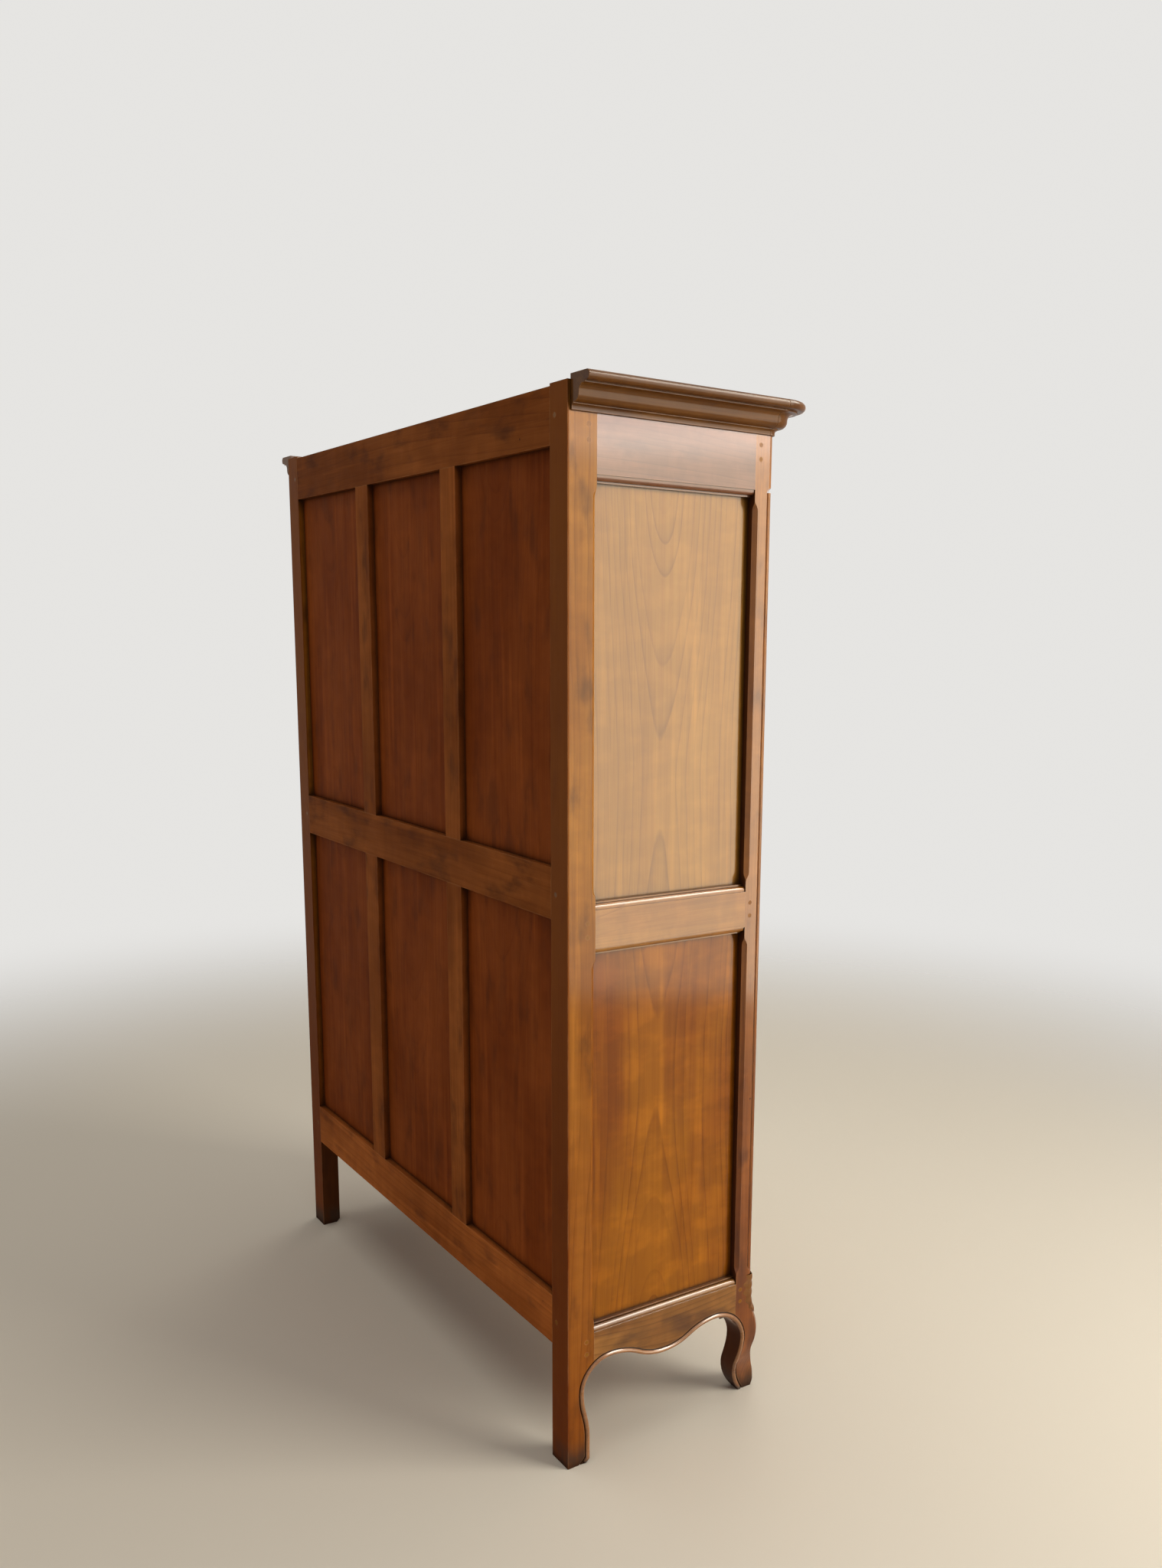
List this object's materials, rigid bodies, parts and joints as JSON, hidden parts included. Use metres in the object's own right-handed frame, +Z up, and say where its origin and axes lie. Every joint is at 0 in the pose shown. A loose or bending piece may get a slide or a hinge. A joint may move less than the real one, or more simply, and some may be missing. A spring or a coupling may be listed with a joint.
{
  "type": "display cabinet",
  "caption": "Tall framed-panel cherry display cabinet with glazed doors, moulded cornice, scalloped bottom rails and cabriole front feet, finished on the back.",
  "frame": {"origin": "centre of the bounding box in plan, on the floor under the feet", "axes": "+Z up, doors face -Y, panelled back faces +Y, +X along the width"},
  "size_m": [1.372, 0.47, 1.87],
  "materials": {
    "cherry_frame": "French polish",
    "cherry_panel": "French polish",
    "stained_back": "waxed stain",
    "interior_wood": "waxed",
    "glass": "clear",
    "brass": "aged",
    "steel": "aged"
  },
  "bodies": {
    "carcass": {"back_bottom_rail": "stained_back", "back_lower_panels": "stained_back", "back_middle_rail": "stained_back", "back_muntins": "stained_back", "back_top_rail": "stained_back", "back_upper_panels": "stained_back", "ceiling_board": "interior_wood", "cornice_front": "cherry_frame", "cornice_left": "cherry_frame", "cornice_right": "cherry_frame", "door_stops": "interior_wood", "floor_board": "interior_wood", "frame_pegs": "cherry_frame", "front_apron": "cherry_frame", "front_frieze_rail": "cherry_frame", "front_post_left": "cherry_frame", "front_post_right": "cherry_frame", "post_hinge_halves": "brass", "rear_post_left": "stained_back", "rear_post_right": "stained_back", "shelf_bars": "interior_wood", "shelves": "interior_wood", "side_apron_left": "cherry_frame", "side_apron_right": "cherry_frame", "side_lower_panel_left": "cherry_panel", "side_lower_panel_right": "cherry_panel", "side_middle_rail_left": "cherry_frame", "side_middle_rail_right": "cherry_frame", "side_top_rail_left": "cherry_frame", "side_top_rail_right": "cherry_frame", "side_upper_panel_left": "cherry_panel", "side_upper_panel_right": "cherry_panel", "support_cleats": "interior_wood", "toothed_racks": "interior_wood"},
    "door_left": {"door_left_bottom_rail": "cherry_frame", "door_left_fittings": "steel", "door_left_glass": "glass", "door_left_glazing_beads": "cherry_frame", "door_left_hinge_halves": "brass", "door_left_hinge_stile": "cherry_frame", "door_left_meeting_stile": "cherry_frame", "door_left_middle_rail": "cherry_frame", "door_left_panel": "cherry_panel", "door_left_plate": "brass", "door_left_top_rail": "cherry_frame"},
    "door_right": {"door_right_bottom_rail": "cherry_frame", "door_right_glass": "glass", "door_right_glazing_beads": "cherry_frame", "door_right_hinge_halves": "brass", "door_right_hinge_stile": "cherry_frame", "door_right_meeting_stile": "cherry_frame", "door_right_middle_rail": "cherry_frame", "door_right_panel": "cherry_panel", "door_right_plate": "brass", "door_right_top_rail": "cherry_frame", "lock_case": "steel"},
    "key": {"key": "steel"},
    "lock_bolt": {"lock_bolt": "steel"},
    "top_bolt": {"top_flush_bolt": "steel"},
    "bottom_bolt": {"bottom_flush_bolt": "steel"}
  },
  "joints": [
    {"name": "door_left_hinge", "type": "hinge", "parent": "carcass", "child": "door_left", "pos_m": [-0.5788, -0.1856, 0.96], "axis": [0, 0, -1], "range_deg": [0, 165]},
    {"name": "door_right_hinge", "type": "hinge", "parent": "carcass", "child": "door_right", "pos_m": [0.5788, -0.1856, 0.96], "axis": [0, 0, 1], "range_deg": [0, 165]},
    {"name": "key_turn", "type": "hinge", "parent": "door_right", "child": "key", "pos_m": [0.0355, -0.179, 0.976], "axis": [0, 1, 0], "range_deg": [0, 180]},
    {"name": "lock_bolt_slide", "type": "slide", "parent": "door_right", "child": "lock_bolt", "axis": [-1, 0, 0], "range_m": [0, 0.012]},
    {"name": "top_bolt_slide", "type": "slide", "parent": "door_left", "child": "top_bolt", "axis": [0, 0, 1], "range_m": [0, 0.014]},
    {"name": "bottom_bolt_slide", "type": "slide", "parent": "door_left", "child": "bottom_bolt", "axis": [0, 0, -1], "range_m": [0, 0.014]}
  ],
  "couplings": [
    {"joint": "key_turn", "follows": "lock_bolt_slide", "rad_per_m": 261.79}
  ]
}
